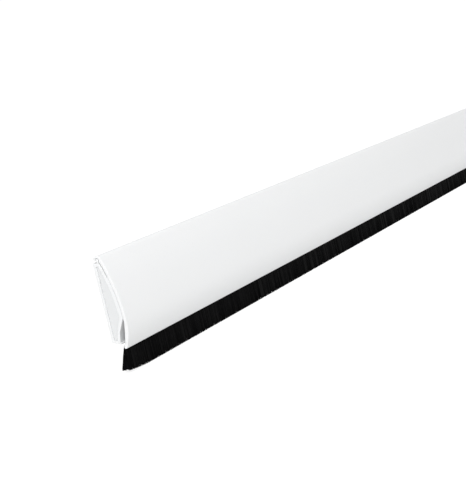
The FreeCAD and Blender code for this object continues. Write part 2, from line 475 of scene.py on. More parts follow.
def carve(piece: bpy.types.Object, cutter: bpy.types.Object) -> None:
    """Cuts one object out of another and removes it.

    Args:
        piece: the object to cut.
        cutter: the object that is cut out of it and removed.
    """
    cut = piece.modifiers.new("carving", "BOOLEAN")
    cut.object = cutter
    cut.operation = "DIFFERENCE"
    cut.solver = "EXACT"
    apply_modifiers(piece)
    bpy.data.objects.remove(cutter)


def apply_modifiers(piece: bpy.types.Object) -> None:
    """Bakes a piece's modifiers into its mesh.

    Args:
        piece: the object.
    """
    graph = bpy.context.evaluated_depsgraph_get()
    mesh = bpy.data.meshes.new_from_object(piece.evaluated_get(graph))
    piece.modifiers.clear()
    piece.data = mesh


# ---------------------------------------------------------------------------------------------------
# Shader node groups and finishes
# ---------------------------------------------------------------------------------------------------


class Effects:
    """The effects that several finishes share, each a node group that is built once."""

    def __init__(self) -> None:
        """Builds the groups."""
        self.drawn_lines = self._drawn_lines()
        self.handling = self._handling()

    @staticmethod
    def _new(name: str, inputs: dict[str, float], outputs: tuple[str, ...]) -> bpy.types.ShaderNodeTree:
        """Makes an empty group with number sockets.

        Args:
            name: the group's name.
            inputs: each input's name and first value.
            outputs: the outputs' names.

        Returns:
            The group, with its two end nodes named "in" and "out".
        """
        tree = bpy.data.node_groups.new(name, "ShaderNodeTree")
        for label, value in inputs.items():
            socket = tree.interface.new_socket(label, in_out="INPUT", socket_type="NodeSocketFloat")
            socket.default_value = value
        for label in outputs:
            tree.interface.new_socket(label, in_out="OUTPUT", socket_type="NodeSocketFloat")
        tree.nodes.new("NodeGroupInput").name = "in"
        tree.nodes.new("NodeGroupOutput").name = "out"
        return tree

    def _drawn_lines(self) -> bpy.types.ShaderNodeTree:
        """Makes fine lines along X, as a die or a drawing plate leaves, that fade in and out.

        Returns:
            The group.
        """
        tree = self._new("drawn_lines", {"Lines per metre": 2500.0, "Fade length": 4.0}, ("Height", "Mask"))
        nodes, links = tree.nodes, tree.links
        place = nodes.new("ShaderNodeTexCoord")
        squeeze = nodes.new("ShaderNodeVectorMath")
        squeeze.operation = "MULTIPLY"
        joined = nodes.new("ShaderNodeCombineXYZ")
        for axis in ("Y", "Z"):
            links.new(nodes["in"].outputs["Lines per metre"], joined.inputs[axis])
        links.new(nodes["in"].outputs["Fade length"], joined.inputs["X"])
        links.new(place.outputs["Object"], squeeze.inputs[0])
        links.new(joined.outputs[0], squeeze.inputs[1])
        fine = nodes.new("ShaderNodeTexNoise")
        fine.inputs["Scale"].default_value = 1.0
        fine.inputs["Detail"].default_value = 3.0
        links.new(squeeze.outputs[0], fine.inputs["Vector"])
        links.new(fine.outputs["Fac"], nodes["out"].inputs["Height"])
        ramp = nodes.new("ShaderNodeMapRange")
        ramp.inputs["From Min"].default_value = 0.45
        ramp.inputs["From Max"].default_value = 0.75
        links.new(fine.outputs["Fac"], ramp.inputs["Value"])
        links.new(ramp.outputs["Result"], nodes["out"].inputs["Mask"])
        return tree

    def _handling(self) -> bpy.types.ShaderNodeTree:
        """Makes soft cloudy patches and sparse fine specks, as handling and packing leave.

        Returns:
            The group.
        """
        tree = self._new("handling_marks", {"Cloud size": 0.05, "Speck size": 0.0012}, ("Clouds", "Specks"))
        nodes, links = tree.nodes, tree.links
        place = nodes.new("ShaderNodeTexCoord")
        for source, output, kind in (("Cloud size", "Clouds", "NOISE"), ("Speck size", "Specks", "VORONOI")):
            scale = nodes.new("ShaderNodeMath")
            scale.operation = "DIVIDE"
            scale.inputs[0].default_value = 1.0
            links.new(nodes["in"].outputs[source], scale.inputs[1])
            texture = nodes.new("ShaderNodeTexNoise" if kind == "NOISE" else "ShaderNodeTexVoronoi")
            links.new(place.outputs["Object"], texture.inputs["Vector"])
            links.new(scale.outputs[0], texture.inputs["Scale"])
            if kind == "NOISE":
                texture.inputs["Detail"].default_value = 4.0
                links.new(texture.outputs["Fac"], nodes["out"].inputs[output])
                continue
            keep = nodes.new("ShaderNodeMapRange")
            keep.inputs["From Min"].default_value = 0.16
            keep.inputs["From Max"].default_value = 0.05
            links.new(texture.outputs["Distance"], keep.inputs["Value"])
            links.new(keep.outputs["Result"], nodes["out"].inputs[output])
        return tree


class Recipe:
    """A material under construction: its Principled shader and short ways to wire it."""

    def __init__(self, name: str) -> None:
        """Makes the material.

        Args:
            name: the material's name.
        """
        self.material = bpy.data.materials.new(name)
        self.material.use_nodes = True
        self.nodes, self.links = self.material.node_tree.nodes, self.material.node_tree.links
        self.shader = self.nodes["Principled BSDF"]

    def group(self, tree: bpy.types.ShaderNodeTree, **values: float) -> bpy.types.ShaderNode:
        """Places a shared effect.

        Args:
            tree: the effect's group.
            values: its input values, with underscores in the names for spaces.

        Returns:
            The group's node.
        """
        node = self.nodes.new("ShaderNodeGroup")
        node.node_tree = tree
        for name, value in values.items():
            node.inputs[name.replace("_", " ")].default_value = value
        return node

    def mix(self, mask: bpy.types.NodeSocket, low: tuple, high: tuple) -> bpy.types.NodeSocket:
        """Makes a colour that goes from low to high with a mask.

        Args:
            mask: the mask.
            low: the colour where the mask is 0, or a socket.
            high: the colour where it is 1, or a socket.

        Returns:
            The colour's socket.
        """
        node = self.nodes.new("ShaderNodeMix")
        node.data_type = "RGBA"
        self.links.new(mask, node.inputs["Factor"])
        for socket, value in ((node.inputs[6], low), (node.inputs[7], high)):
            if isinstance(value, bpy.types.NodeSocket):
                self.links.new(value, socket)
            else:
                socket.default_value = (*value, 1.0)
        return node.outputs[2]

    def span(self, value: bpy.types.NodeSocket, low: float, high: float) -> bpy.types.NodeSocket:
        """Makes a number that follows a mask.

        Args:
            value: the mask.
            low: the number where the mask is 0.
            high: the number where it is 1.

        Returns:
            The number's socket.
        """
        node = self.nodes.new("ShaderNodeMapRange")
        node.inputs["To Min"].default_value = low
        node.inputs["To Max"].default_value = high
        self.links.new(value, node.inputs["Value"])
        return node.outputs["Result"]

    def bump(self, height: bpy.types.NodeSocket, depth: float, strength: float,
             under: bpy.types.ShaderNode | None = None) -> bpy.types.ShaderNode:
        """Raises the surface by a mask.

        Args:
            height: the mask.
            depth: how far the surface rises where the mask is 1.
            strength: how strongly the rise shows.
            under: another bump that this one lies over.

        Returns:
            The bump's node.
        """
        node = self.nodes.new("ShaderNodeBump")
        node.inputs["Distance"].default_value = depth
        node.inputs["Strength"].default_value = strength
        self.links.new(height, node.inputs["Height"])
        if under:
            self.links.new(under.outputs["Normal"], node.inputs["Normal"])
        return node

    def finish(self, colour: bpy.types.NodeSocket, roughness: bpy.types.NodeSocket,
               relief: bpy.types.ShaderNode) -> bpy.types.Material:
        """Joins the colour, roughness and relief to the shader.

        Args:
            colour: the colour's socket.
            roughness: the roughness's socket.
            relief: the last bump.

        Returns:
            The material.
        """
        self.links.new(colour, self.shader.inputs["Base Color"])
        self.links.new(roughness, self.shader.inputs["Roughness"])
        self.links.new(relief.outputs["Normal"], self.shader.inputs["Normal"])
        return self.material


@dataclass(frozen=True)
class ExtrudedVinyl:
    """Satin white rigid vinyl, straight from the die."""

    name: str
    colour: tuple[float, float, float]
    shadow: tuple[float, float, float]
    smoothest: float = 0.34
    roughest: float = 0.46
    milkiness: float = 0.1
    glow_depth: float = 2 * MM

    def make(self, effects: Effects) -> bpy.types.Material:
        """Builds the material.

        Args:
            effects: the shared effects.

        Returns:
            The material.
        """
        recipe = Recipe(self.name)
        lines = recipe.group(effects.drawn_lines, Lines_per_metre=1800.0, Fade_length=2.5)
        marks = recipe.group(effects.handling, Cloud_size=0.06, Speck_size=0.0035)
        tint = recipe.mix(marks.outputs["Clouds"], self.shadow, self.colour)
        dull = recipe.span(marks.outputs["Specks"], low=0.0, high=0.12)
        colour = recipe.mix(dull, tint, tuple(0.72 * c for c in self.colour))
        roughness = recipe.span(lines.outputs["Mask"], low=self.smoothest, high=self.roughest)
        ripple = recipe.bump(marks.outputs["Clouds"], depth=0.00025, strength=0.25)
        relief = recipe.bump(lines.outputs["Height"], depth=0.00002, strength=0.35, under=ripple)
        recipe.shader.inputs["IOR"].default_value = 1.53
        recipe.shader.inputs["Subsurface Weight"].default_value = self.milkiness
        recipe.shader.inputs["Subsurface Radius"].default_value = (1.0, 0.95, 0.9)
        recipe.shader.inputs["Subsurface Scale"].default_value = self.glow_depth
        return recipe.finish(colour, roughness, relief)


@dataclass(frozen=True)
class CutEndVinylWithPaintedHighlight:
    """The same vinyl where a fine saw has cut it: matt, with close slanting marks, and painted a little
    brighter than the extruded faces as a painted highlight on the cut ends.
    """

    name: str
    colour: tuple[float, float, float]
    groove: tuple[float, float, float]
    marks_per_metre: float = 2600.0

    def make(self, effects: Effects) -> bpy.types.Material:
        """Builds the material.

        Args:
            effects: the shared effects.

        Returns:
            The material.
        """
        recipe = Recipe(self.name)
        place = recipe.nodes.new("ShaderNodeTexCoord")
        wave = recipe.nodes.new("ShaderNodeTexWave")
        wave.bands_direction = "DIAGONAL"
        wave.inputs["Scale"].default_value = self.marks_per_metre / 6
        wave.inputs["Distortion"].default_value = 1.6
        wave.inputs["Detail"].default_value = 3.0
        recipe.links.new(place.outputs["Object"], wave.inputs["Vector"])
        dust = recipe.group(effects.handling, Cloud_size=0.002, Speck_size=0.0006)
        soft = recipe.mix(wave.outputs["Fac"], self.groove, self.colour)
        colour = recipe.mix(recipe.span(dust.outputs["Specks"], low=0.0, high=0.2), soft, self.groove)
        roughness = recipe.span(wave.outputs["Fac"], low=0.62, high=0.78)
        relief = recipe.bump(wave.outputs["Fac"], depth=0.00004, strength=0.5)
        return recipe.finish(colour, roughness, relief)


@dataclass(frozen=True)
class MillSteel:
    """Bright mild steel: zinc-spangled where it is rolled sheet, line-drawn where it is wire."""

    name: str
    bright: tuple[float, float, float]
    dark: tuple[float, float, float]
    spangle: float
    smoothest: float
    roughest: float

    def make(self, effects: Effects) -> bpy.types.Material:
        """Builds the material.

        Args:
            effects: the shared effects.

        Returns:
            The material.
        """
        recipe = Recipe(self.name)
        place = recipe.nodes.new("ShaderNodeTexCoord")
        crystal = recipe.nodes.new("ShaderNodeTexVoronoi")
        crystal.inputs["Scale"].default_value = 1 / self.spangle
        recipe.links.new(place.outputs["Object"], crystal.inputs["Vector"])
        split = recipe.nodes.new("ShaderNodeSeparateColor")
        recipe.links.new(crystal.outputs["Color"], split.inputs[0])
        lines = recipe.group(effects.drawn_lines, Lines_per_metre=6000.0, Fade_length=8.0)
        marks = recipe.group(effects.handling, Cloud_size=0.02, Speck_size=0.0015)
        tone = recipe.mix(split.outputs[0], self.dark, self.bright)
        colour = recipe.mix(recipe.span(marks.outputs["Specks"], low=0.0, high=0.3), tone, self.dark)
        roughness = recipe.span(lines.outputs["Mask"], low=self.smoothest, high=self.roughest)
        recipe.shader.inputs["Metallic"].default_value = 1.0
        relief = recipe.bump(lines.outputs["Height"], depth=0.00001, strength=0.4)
        return recipe.finish(colour, roughness, relief)


@dataclass(frozen=True)
class BlackNylon:
    """Drawn black nylon filament, with the tone changing a little from clump to clump."""

    name: str
    colour: tuple[float, float, float]
    pale: tuple[float, float, float]
    clump: float = 0.0016
    gloss: float = 0.03

    def make(self, effects: Effects) -> bpy.types.Material:
        """Builds the material.

        Args:
            effects: the shared effects.

        Returns:
            The material.
        """
        recipe = Recipe(self.name)
        marks = recipe.group(effects.handling, Cloud_size=self.clump, Speck_size=0.0009)
        tone = recipe.mix(recipe.span(marks.outputs["Clouds"], low=0.0, high=0.8), self.colour, self.pale)
        colour = recipe.mix(recipe.span(marks.outputs["Specks"], low=0.0, high=0.25), tone, self.pale)
        roughness = recipe.span(marks.outputs["Clouds"], low=0.38, high=0.6)
        recipe.shader.inputs["Specular IOR Level"].default_value = self.gloss
        relief = recipe.bump(marks.outputs["Clouds"], depth=0.00005, strength=0.3)
        return recipe.finish(colour, roughness, relief)


def dress(piece: bpy.types.Object, slot: Finish, *materials: bpy.types.Material) -> None:
    """Gives a piece its materials.

    Args:
        piece: the object.
        slot: the record's slot; not used.
        materials: the materials, in the order of the object's own slots.
    """
    piece.data.materials.clear()
    for material in materials:
        piece.data.materials.append(material)


# ---------------------------------------------------------------------------------------------------
# Sub-assemblies
# ---------------------------------------------------------------------------------------------------


@dataclass
class Rail:
    """The closed hollow rail that is screwed to the door."""

    section: Section
    corner: float = 0.2 * MM
    hole_radius: float = 2.2 * MM
    driver_radius: float = 4.5 * MM
    hole_pitch: float = 170 * MM
    hole_count: int = 6
    hole_height: float = 20.6 * MM
    materials: list[bpy.types.Material] = field(default_factory=list)

    def outer(self) -> list[Vector]:
        """The rail's outline, with its hook ridge above and its brush ledge below.

        Returns:
            The rounded outline.
        """
        s = self.section
        slot, front = s.face_bow - s.cover_wall - s.slot_gap, s.face_bow - s.cover_wall - s.face_gap
        half = s.ridge_stem / 2
        neck = s.ridge_height - math.sqrt(s.ridge_radius**2 - half**2)
        path = Outline((0, 0)).line((0, s.back_height))
        path.line((s.ridge_depth - half, s.back_height - s.top_fall), (s.ridge_depth - half, neck))
        path.arc((s.ridge_depth, s.ridge_height + s.ridge_radius), s.ridge_radius)
        path.arc((s.ridge_depth + half, neck), s.ridge_radius)
        path.line((s.ridge_depth + half, s.slot_top), (s.bow_depth(slot, s.slot_top), s.slot_top))
        path.arc((s.bow_depth(slot, s.slot_bottom), s.slot_bottom), slot)
        path.line((s.bow_depth(front, s.slot_bottom), s.slot_bottom))
        path.arc((s.bow_depth(front, s.front_bottom), s.front_bottom), front)
        path.line(
            s.leaning(-s.slot_half, s.slot_head),
            s.leaning(-s.slot_half, s.ledge),
            s.leaning(-s.mouth_width / 2, s.ledge),
            s.leaning(-s.mouth_width / 2, 0),
        )
        return path.softened(self.corner)

    def build(self) -> None:
        """Builds, drills and dresses the rail."""
        s = self.section
        piece = Extrusion(s).build("rail_extrusion", [self.outer(), s.chamber(self.corner)])
        level = s.foot + self.hole_height
        through, reach = 2.2 * s.rail_wall, s.belly_depth
        cutters = []
        for number in range(self.hole_count):
            x = (number - (self.hole_count - 1) / 2) * self.hole_pitch
            cutters.append((Vector((x, -s.rail_wall / 2, level)), self.hole_radius, through))
            cutters.append((Vector((x, -1.5 * s.rail_wall - reach / 2, level)), self.driver_radius, reach))
        drill(piece, cutters)
        shade(piece)
        dress(piece, Finish.RAIL, *self.materials)
        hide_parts("mounting_rail")
        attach(piece, "rail")
        LOG.info("rail: %d faces", len(piece.data.polygons))


@dataclass
class EndPlug:
    """A plug, formed in a mould, that closes one end of the rail's hollow: a plate with a skirt behind it."""

    section: Section
    node: str
    at_high_end: bool
    seam: float = 0.05 * MM
    edge: float = 0.25 * MM
    materials: list[bpy.types.Material] = field(default_factory=list)

    def hollow(self) -> list[Vector]:
        """The outline of the hollow behind the plate.

        Returns:
            The rounded outline.
        """
        s = self.section
        radius = s.face_bow - s.cover_wall - s.slot_gap - s.rail_wall - s.plug_wall
        bottom = s.front_bottom + s.rail_wall / 2
        back = s.rail_wall + s.plug_wall
        toe = s.leaning(-s.slot_half - s.rail_wall - s.plug_wall, s.slot_head)
        path = Outline((back, toe[1])).line((back, s.plug_hollow_top))
        path.line((s.bow_depth(radius, s.plug_hollow_top), s.plug_hollow_top))
        path.arc((s.bow_depth(radius, bottom), bottom), radius).line(toe)
        return path.softened(0.4 * MM)

    def span(self, start: float, end: float) -> Pair:
        """A stretch of the run, measured inwards from this plug's end."""
        low, high = self.section.run
        return (high - end, high - start) if self.at_high_end else (low + start, low + end)

    def build(self) -> None:
        """Builds and dresses the plug."""
        s = self.section
        outline = s.chamber(0.3 * MM)
        outline = inset(outline if signed_area(outline) < 0 else outline[::-1], self.seam)
        inner_end = s.plug_setback + s.plug_reach
        block = Extrusion(s, self.edge, stations=3, span=self.span(s.plug_setback, inner_end))
        piece = block.build(f"{self.node}_moulding", [outline])
        pin = self.span(s.plug_setback + s.plug_plate, inner_end + 2 * self.edge)
        core = Extrusion(s, self.edge, stations=3, span=pin)
        carve(piece, core.build("core_pin", [self.hollow()]))
        shade(piece)
        dress(piece, Finish.PLUG, *self.materials)
        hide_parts(self.node)
        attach(piece, "rail")


@dataclass
class Cover:
    """The bowed cover that hides the screws and closes the brush slot."""

    section: Section
    corner: float = 0.2 * MM
    materials: list[bpy.types.Material] = field(default_factory=list)

    def outline(self) -> list[Vector]:
        """The cover's outline, from the hook's tail over the face to the lip and back up inside.

        Returns:
            The rounded outline.
        """
        s = self.section
        inner = s.face_bow - s.cover_wall
        hook_in = s.ridge_radius + s.hook_gap
        hook_out = hook_in + s.hook_wall
        orbit = s.face_bow - hook_out
        sine = (s.ridge_height - s.belly_height) / orbit
        cosine = math.sqrt(1 - sine**2)
        reach = (orbit**2 + inner**2 - hook_in**2) / (2 * orbit) - orbit
        drop = math.sqrt(hook_in**2 - reach**2)
        throat = (
            s.ridge_depth + reach * cosine + drop * sine,
            s.ridge_height + reach * sine - drop * cosine,
        )
        lip_depth = s.belly_depth - s.lip_bow + math.sqrt(s.lip_bow**2 - (s.belly_height + s.lip_drop) ** 2)
        lip_inside = s.lip_rise - (s.lip_drop - s.mouth_drop) / math.cos(s.lean)
        bow_centre = s.belly_depth - s.face_bow
        path = Outline((s.ridge_depth - hook_out, s.ridge_height))
        path.arc((bow_centre + s.face_bow * cosine, s.belly_height + s.face_bow * sine), hook_out)
        path.arc((s.belly_depth, s.belly_height), s.face_bow)
        path.arc((lip_depth, -s.lip_drop), s.lip_bow)
        path.arc(s.leaning(s.mouth_width / 2, lip_inside), s.lip_round)
        path.line(
            s.leaning(s.mouth_width / 2, s.ledge),
            s.leaning(s.slot_half, s.ledge),
            s.leaning(s.slot_half, s.slot_head),
            (s.belly_depth - s.cover_wall, s.belly_height),
        )
        path.arc(throat, inner, Side.IN)
        path.arc((s.ridge_depth, s.ridge_height + hook_in), hook_in, Side.IN)
        path.arc((s.ridge_depth - hook_in, s.ridge_height), hook_in, Side.IN)
        return path.softened(self.corner)

    def build(self) -> None:
        """Builds and dresses the cover."""
        piece = Extrusion(self.section).build("cover_extrusion", [self.outline()])
        shade(piece)
        dress(piece, Finish.COVER, *self.materials)
        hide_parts("clip_cover")
        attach(piece, "cover")
        LOG.info("cover: %d faces", len(piece.data.polygons))


@dataclass
class BrushHolder:
    """The folded channel with its crimps, and the wire that the filaments are folded over."""

    section: Section
    crimp_pitch: float = 6 * MM
    crimp_depth: float = 0.07 * MM
    steps_per_crimp: int = 5
    wire_sides: int = 24
    sheet_steel: bpy.types.Material | None = None
    wire_steel: bpy.types.Material | None = None

    def channel_outline(self) -> list[Vector]:
        """The channel's outline: an upside-down U.

        Returns:
            The rounded outline.
        """
        s = self.section
        half = s.channel_width / 2
        path = Outline(s.leaning(-half, s.channel_foot)).line(s.leaning(-half, s.crown))
        path.arc(s.leaning(0, s.crown + half), half).arc(s.leaning(half, s.crown), half)
        path.line(s.leaning(half, s.channel_foot), s.leaning(s.pack_half, s.channel_foot))
        path.line(s.leaning(s.pack_half, s.crown))
        path.arc(s.leaning(0, s.crown + s.pack_half), s.pack_half, Side.IN)
        path.arc(s.leaning(-s.pack_half, s.crown), s.pack_half, Side.IN)
        path.line(s.leaning(-s.pack_half, s.channel_foot))
        return path.softened(0.05 * MM)

    def crimp(self, piece: bpy.types.Object) -> None:
        """Presses the channel's legs inwards at even steps along the run.

        Args:
            piece: the channel.
        """
        s = self.section
        axis = Vector(s.leaning(0, s.crown)) - Vector(s.leaning(0, 0))
        axis.normalize()
        foot = Vector(s.leaning(0, s.channel_foot))
        front = Vector((axis.y, -axis.x))
        leg = s.crown - s.channel_foot
        low, high = s.strip
        for vertex in piece.data.vertices:
            point = Vector((-vertex.co.y, vertex.co.z - s.foot)) - foot
            up, across = point.dot(axis), point.dot(front)
            from_end = min(vertex.co.x - low, high - vertex.co.x)
            if not 0 <= up <= leg or from_end < self.crimp_pitch / 2:
                continue
            along = 0.5 - 0.5 * math.cos(2 * math.pi * from_end / self.crimp_pitch)
            press = self.crimp_depth * along**3 * math.sin(math.pi * up / leg) ** 2
            shift = front * (-math.copysign(press, across))
            vertex.co.y -= shift.x
            vertex.co.z += shift.y

    def wire(self) -> bpy.types.Object:
        """The wire, with rounded ends.

        Returns:
            The wire.
        """
        s = self.section
        centre = Vector(s.leaning(0, s.crown))
        segments = self.wire_sides
        low, high = s.strip
        ends = [(0.0, 0.55), (0.06 * MM, 0.85), (0.16 * MM, 1.0)]
        profile = [(low + d, r) for d, r in ends] + [(high - d, r) for d, r in reversed(ends)]
        vertices, faces = [], []
        for x, share in profile:
            for step in range(segments):
                angle = 2 * math.pi * step / segments
                spoke = Vector((math.cos(angle), math.sin(angle))) * s.wire_radius * share
                vertices.append(s.place(x, centre + spoke))
        for ring in range(len(profile) - 1):
            a, b = ring * segments, (ring + 1) * segments
            faces += [[a + i, a + (i + 1) % segments, b + (i + 1) % segments, b + i] for i in range(segments)]
        faces += [list(range(segments)), list(range(len(vertices) - segments, len(vertices)))]
        return new_piece("folding_wire", vertices, faces)

    def build(self) -> None:
        """Builds and dresses the channel and the wire."""
        s = self.section
        pitches = (s.strip[1] - s.strip[0]) / self.crimp_pitch
        stations = int(pitches * self.steps_per_crimp)
        extrusion = Extrusion(s, broken_edge=0.04 * MM, stations=stations, span=s.strip)
        channel = extrusion.build("channel_sheet", [self.channel_outline()])
        self.crimp(channel)
        wire = self.wire()
        for piece, slot, node, steel in (
            (channel, Finish.CHANNEL, "brush_channel", self.sheet_steel),
            (wire, Finish.WIRE, "core_wire", self.wire_steel),
        ):
            shade(piece)
            dress(piece, slot, steel, steel)
            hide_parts(node)
            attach(piece, "brush")
        LOG.info("channel: %d faces, wire: %d faces", len(channel.data.polygons), len(wire.data.polygons))


@dataclass
class Filaments:
    """The brush itself: layers of single filaments round a close dark pack."""

    section: Section
    per_layer: int = 9500
    thickness: float = 0.115 * MM
    trim_spread: float = 0.22 * MM
    drift: float = 0.4 * MM
    scatter: float = 0.05 * MM
    bow: float = 0.12 * MM
    clump_pitch: float = 7.3 * MM
    clump_beat: float = 31 * MM
    clumping: float = 0.5
    stray: float = 0.45
    ragged: float = 0.25 * MM
    taper: float = 0.82
    neck_share: float = 0.14
    fan_curve: float = 1.08
    fan_reach: float = 24 * MM
    worn_reach: float = 16 * MM
    worn_rise: float = 1.3 * MM
    pack_stations: int = 260
    seed: int = 41
    nylon: bpy.types.Material | None = None

    def spine(self, across: np.ndarray, shares: np.ndarray) -> tuple[np.ndarray, np.ndarray]:
        """Where filaments run: from the channel through the neck to the fanned tips.

        Args:
            across: each filament's place through the brush's thickness, from 0 at the back to 1.
            shares: how far along each filament each ring lies, from 0 at the root to 1 at the tip.

        Returns:
            The depths and heights, one row for each filament.
        """
        s = self.section
        half = s.neck_width / 2 - self.thickness
        side = (across[:, None] * 2 - 1) * half
        root = s.leaning(0, s.channel_foot * 0.5)
        neck = s.leaning(0, s.waist)
        sine, cosine = math.sin(s.lean), math.cos(s.lean)
        tip_depth = s.tip_depth + self.thickness + across[:, None] * (s.tip_width - 2 * self.thickness)
        fall = np.clip((shares - self.neck_share) / (1 - self.neck_share), 0, 1)[None, :]
        rise = np.clip(shares / self.neck_share, 0, 1)[None, :]
        depth = root[0] + (neck[0] - root[0]) * rise + side * cosine
        height = root[1] + (neck[1] - root[1]) * rise - side * sine
        depth = depth + (tip_depth - depth) * fall**self.fan_curve
        height = height + (-s.tip_drop - height) * fall
        return depth, height

    def nearness(self, from_end: np.ndarray | float) -> np.ndarray:
        """How near the strip's end a filament stands: 1 at the end, 0 where the fan starts."""
        return np.clip(1 - from_end / self.fan_reach, 0, 1)

    def worn(self, from_end: np.ndarray | float) -> np.ndarray:
        """How much shorter the filaments are towards the strip's end."""
        return self.worn_rise * np.clip(1 - from_end / self.worn_reach, 0, 1) ** 2

    def splay(self, height: np.ndarray | float) -> np.ndarray:
        """Tells how much of its fan at the run's ends a filament has made.

        Args:
            height: the height above the back wall's foot.

        Returns:
            A share, from 0 at the mouth to 1 at the tips.
        """
        s = self.section
        falls = [s.mouth_drop - s.ledge, s.mouth_drop + 1.3 * MM, s.tip_drop / 2, s.tip_drop]
        return np.interp(-np.asarray(height), falls, [0.0, 0.72, 0.95, 1.0])

    def layer(self, name: str, low: float, high: float, seed: int) -> bpy.types.Object:
        """Makes one layer of filaments.

        Args:
            name: the piece's name.
            low: the layer's rear face, as a share of the brush's thickness.
            high: its front face.
            seed: the seed of its random draws.

        Returns:
            The new object.
        """
        s = self.section
        random = np.random.default_rng(seed)
        count = self.per_layer
        margin = self.thickness * 1.5
        start, stop = s.strip[0] + margin, s.strip[1] - margin
        x = np.linspace(start, stop, count) + random.normal(0, self.scatter, count)
        x = np.clip(x, start, stop)
        across = random.uniform(low, high, count)
        shares = np.array([0.0, self.neck_share, 0.5, 1.0])
        depth, height = self.spine(across, shares)
        from_end = np.minimum(x - start, stop - x)
        tips = random.uniform(0, 1, count) ** 2 * self.trim_spread + self.worn(from_end)
        height += tips[:, None] * shares[None, :] ** 2
        beat = 2 * np.sin(x * 2 * math.pi / self.clump_beat)
        clumps = self.clumping * self.drift * np.sin(x * 2 * math.pi / self.clump_pitch + beat)
        nearness = self.nearness(from_end)
        lean = (random.normal(0, self.drift * self.stray, count) + clumps) * (1 - nearness) ** 2
        outward = np.where(x < (start + stop) / 2, -1.0, 1.0)
        fan = outward * nearness**FAN_POWER * (s.strip_setback - random.uniform(0, self.ragged, count))
        bow = random.normal(0, self.bow, count)
        along = x[:, None] + lean[:, None] * shares**1.6 + fan[:, None] * self.splay(height)
        bulge = bow[:, None] * (np.sin(math.pi * shares) * (shares > self.neck_share))[None, :]
        inside = np.clip(1 - np.abs(across - 0.5) * 2, 0, 1)[:, None]
        depth = depth + bulge * inside
        corners = np.arange(3) * 2 * math.pi / 3
        taper = np.linspace(1.0, self.taper, len(shares))
        spin = random.uniform(0, 2 * math.pi, count)
        angle = spin[:, None, None] + corners[None, None, :]
        size = (self.thickness * taper)[None, :, None]
        px = along[:, :, None] + size * np.cos(angle)
        py = -(depth[:, :, None] + size * np.sin(angle))
        pz = np.repeat((height + s.foot)[:, :, None], 3, axis=2)
        points = np.stack([px, py, pz], axis=-1).reshape(-1, 3)
        pattern = []
        for ring in range(len(shares) - 1):
            for corner in range(3):
                after = (corner + 1) % 3
                a, b = ring * 3, (ring + 1) * 3
                pattern.append([a + corner, a + after, b + after, b + corner])
        size_each = 3 * len(shares)
        quads = (np.array(pattern)[None] + (np.arange(count) * size_each)[:, None, None]).reshape(-1, 4)
        tip = size_each - 3 + np.array([0, 1, 2])
        root = np.array([2, 1, 0])
        ends = (np.stack([tip, root])[None] + (np.arange(count) * size_each)[:, None, None]).reshape(-1, 3)
        piece = new_piece(name, points, quads.tolist() + ends.tolist())
        piece.data.polygons.foreach_set("use_smooth", np.ones(len(piece.data.polygons), bool))
        return piece

    def pack(self) -> bpy.types.Object:
        """The close mass of filaments: folded round the wire, gripped, necked, and just inside the tips.

        Returns:
            The pack.
        """
        s = self.section
        grip, neck = s.pack_half - 0.02 * MM, s.neck_width / 2 - 0.1 * MM
        inside_tips, lift = 0.26 * MM, 0.9 * MM
        path = Outline(s.leaning(-grip, s.crown))
        path.arc(s.leaning(0, s.crown + grip), grip).arc(s.leaning(grip, s.crown), grip)
        path.line(s.leaning(grip, s.channel_foot), s.leaning(neck, s.ledge), s.leaning(neck, s.waist))
        rear, front = s.tip_depth + inside_tips, s.tip_depth + s.tip_width - inside_tips
        path.line((front, lift - s.tip_drop), (rear, lift - s.tip_drop))
        path.line(s.leaning(-neck, s.waist), s.leaning(-neck, s.ledge), s.leaning(-grip, s.channel_foot))
        hole = Outline(s.leaning(-s.wire_radius, s.crown))
        for end in ((0, s.wire_radius), (s.wire_radius, 0), (0, -s.wire_radius), (-s.wire_radius, 0)):
            hole.arc(s.leaning(end[0], s.crown + end[1]), s.wire_radius)
        loops = [path.softened(0.1 * MM), hole.points[:-1]]
        extrusion = Extrusion(s, broken_edge=0.06 * MM, stations=self.pack_stations, span=s.strip)
        piece = extrusion.build("filament_pack", loops)
        middle = (s.run[0] + s.run[1]) / 2
        for vertex in piece.data.vertices:
            fallen = min(max((s.foot - vertex.co.z) / s.tip_drop, 0), 1)
            from_end = min(vertex.co.x - s.strip[0], s.strip[1] - vertex.co.x)
            spread = (s.strip_setback - 0.4 * MM) * self.nearness(from_end) ** FAN_POWER
            spread *= self.splay(vertex.co.z - s.foot)
            vertex.co.z += self.worn(from_end) * fallen**2
            vertex.co.x += math.copysign(spread, vertex.co.x - middle)
        return piece

    def build(self) -> None:
        """Builds and dresses every layer and the pack."""
        pieces = [
            self.layer("filaments_front", 0.84, 1.0, self.seed),
            self.layer("filaments_middle", 0.12, 0.88, self.seed + 1),
            self.layer("filaments_back", 0.0, 0.16, self.seed + 2),
        ]
        core = self.pack()
        shade(core)
        for piece in [*pieces, core]:
            dress(piece, Finish.FILAMENT, self.nylon, self.nylon)
            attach(piece, "brush")
            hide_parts("brush_bristles")
            LOG.info("%s: %d faces", piece.name, len(piece.data.polygons))


# ---------------------------------------------------------------------------------------------------
# Studio
# ---------------------------------------------------------------------------------------------------


